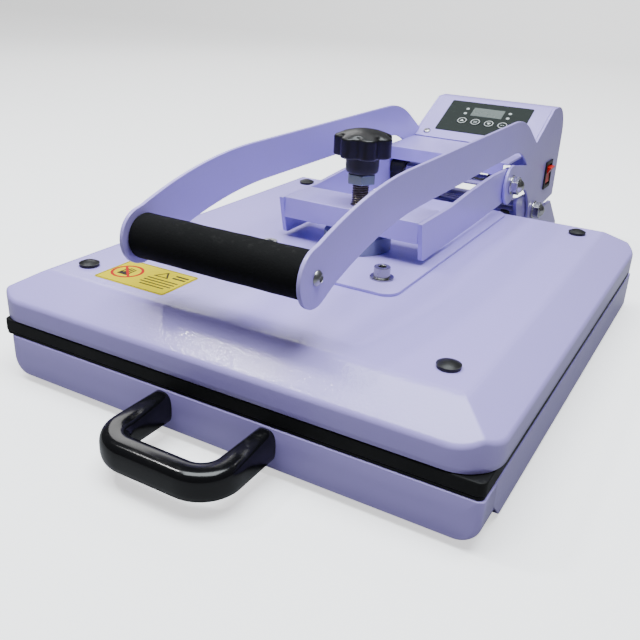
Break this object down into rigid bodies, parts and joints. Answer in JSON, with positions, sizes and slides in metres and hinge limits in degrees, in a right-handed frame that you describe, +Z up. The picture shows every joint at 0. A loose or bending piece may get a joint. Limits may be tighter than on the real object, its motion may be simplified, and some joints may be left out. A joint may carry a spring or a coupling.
{
  "type": "heat press",
  "caption": "Clamshell heat press with a slide-out lower table, padded lift handle, pressing screw with star knob and a sloping control box on the lift frame.",
  "frame": {"origin": "bottom centre of the whole press, under its feet, halfway between the pull handle's front and the rear of the base", "axes": "+Z up, +Y from the pull handle to the control box, +X to the right of someone standing at the grip"},
  "size_m": [0.4, 0.74, 0.1864],
  "materials": {
    "powder_coat": "lilac powder coat with a fine orange-peel texture",
    "zinc_steel": "bright zinc plate",
    "chrome_steel": "polished chrome",
    "raw_steel": "turned blue-grey steel",
    "dark_steel": "black oxide steel",
    "black_gloss": "moulded, glossy",
    "black_matte": "moulded, satin",
    "grip_foam": "closed-cell foam",
    "feet_rubber": "matt",
    "silicone": "dense silicone sheet",
    "platen_alloy": "cast, machined face",
    "overlay_film": "printed membrane film",
    "display_lens": "unlit display window",
    "indicator": "clear indicator",
    "rocker_red": "moulded, glossy",
    "label_film": "printed vinyl label",
    "board": "glass-epoxy board",
    "element_sheath": "heat-tinted steel sheath",
    "wool": "compressed mineral wool"
  },
  "bodies": {
    "root": {"chassis": "powder_coat", "left_upright": "powder_coat", "right_upright": "powder_coat", "rear_brace": "powder_coat", "upright_bolts": "zinc_steel", "main_shaft": "chrome_steel", "main_shaft_nuts": "chrome_steel", "rubber_feet": "feet_rubber", "slide_channels": "zinc_steel"},
    "drawer": {"drawer_panel": "powder_coat", "pull_handle": "black_gloss", "pull_handle_screws": "zinc_steel", "drawer_frame": "powder_coat", "slide_runners": "zinc_steel", "lower_platen": "black_matte", "silicone_pad": "silicone"},
    "lift_frame": {"left_side_plate": "powder_coat", "right_side_plate": "powder_coat", "frame_crossmember": "powder_coat", "grip_tube": "zinc_steel", "foam_grip": "grip_foam", "grip_screws": "zinc_steel", "carrier_shaft": "chrome_steel", "carrier_shaft_nuts": "chrome_steel", "shaft_collars": "black_matte", "control_cover": "powder_coat", "control_floor": "powder_coat", "membrane_overlay": "overlay_film", "display_window": "display_lens", "indicator_lenses": "indicator", "panel_screws": "zinc_steel", "control_board": "board", "heater_relay": "black_matte", "mains_inlet": "black_matte", "fuse_holder": "black_matte", "switch_body": "black_matte"},
    "rocker": {"switch_rocker": "rocker_red"},
    "up_button": {"button_up": "overlay_film"},
    "set_button": {"button_set": "overlay_film"},
    "down_button": {"button_down": "overlay_film"},
    "mode_button": {"button_mode": "overlay_film"},
    "carrier": {"left_carrier_arm": "powder_coat", "right_carrier_arm": "powder_coat", "carrier_crossbar": "powder_coat", "screw_bush": "zinc_steel"},
    "heated_head": {"cover_shell": "powder_coat", "mount_plate": "powder_coat", "pressing_boss": "raw_steel", "mount_screws": "zinc_steel", "corner_caps": "black_matte", "caution_label": "label_film", "heated_platen": "platen_alloy", "heating_element": "element_sheath", "insulation": "wool", "platen_spacers": "zinc_steel", "temperature_probe": "zinc_steel", "lead_gland": "black_matte"},
    "screw_knob": {"star_knob": "black_gloss", "jam_nut": "zinc_steel", "pressure_rod": "dark_steel"}
  },
  "joints": [
    {"name": "handle_lift", "type": "hinge", "parent": "root", "child": "lift_frame", "pos_m": [0, 0.223, 0.062], "axis": [-1, 0, 0], "range_deg": [0, 28]},
    {"name": "carrier_tilt", "type": "hinge", "parent": "lift_frame", "child": "carrier", "pos_m": [0, 0.12, 0.111], "axis": [-1, 0, 0], "range_deg": [-5.7, 0]},
    {"name": "platen_height", "type": "slide", "parent": "carrier", "child": "heated_head", "axis": [0, 0, 1], "range_m": [0, 0.003]},
    {"name": "knob_turn", "type": "hinge", "parent": "heated_head", "child": "screw_knob", "pos_m": [0, -0.082, 0.166], "axis": [0, 0, 1], "range_deg": [0, 541]},
    {"name": "drawer_slide", "type": "slide", "parent": "root", "child": "drawer", "axis": [0, -1, 0], "range_m": [0, 0.3]},
    {"name": "switch_rock", "type": "hinge", "parent": "lift_frame", "child": "rocker", "pos_m": [0.0685, 0.265, 0.095], "axis": [0, -1, 0], "range_deg": [0, 16]},
    {"name": "up_press", "type": "slide", "parent": "lift_frame", "child": "up_button", "axis": [0, 0.4478, -0.8942], "range_m": [0, 0.0005], "stiffness_N_per_m": 400, "springref_m": -0.0005},
    {"name": "set_press", "type": "slide", "parent": "lift_frame", "child": "set_button", "axis": [0, 0.4478, -0.8942], "range_m": [0, 0.0005], "stiffness_N_per_m": 400, "springref_m": -0.0005},
    {"name": "down_press", "type": "slide", "parent": "lift_frame", "child": "down_button", "axis": [0, 0.4478, -0.8942], "range_m": [0, 0.0005], "stiffness_N_per_m": 400, "springref_m": -0.0005},
    {"name": "mode_press", "type": "slide", "parent": "lift_frame", "child": "mode_button", "axis": [0, 0.4478, -0.8942], "range_m": [0, 0.0005], "stiffness_N_per_m": 400, "springref_m": -0.0005}
  ],
  "couplings": [
    {"joint": "carrier_tilt", "follows": "handle_lift", "ratio": -0.2},
    {"joint": "knob_turn", "follows": "platen_height", "rad_per_m": 3141.6}
  ]
}
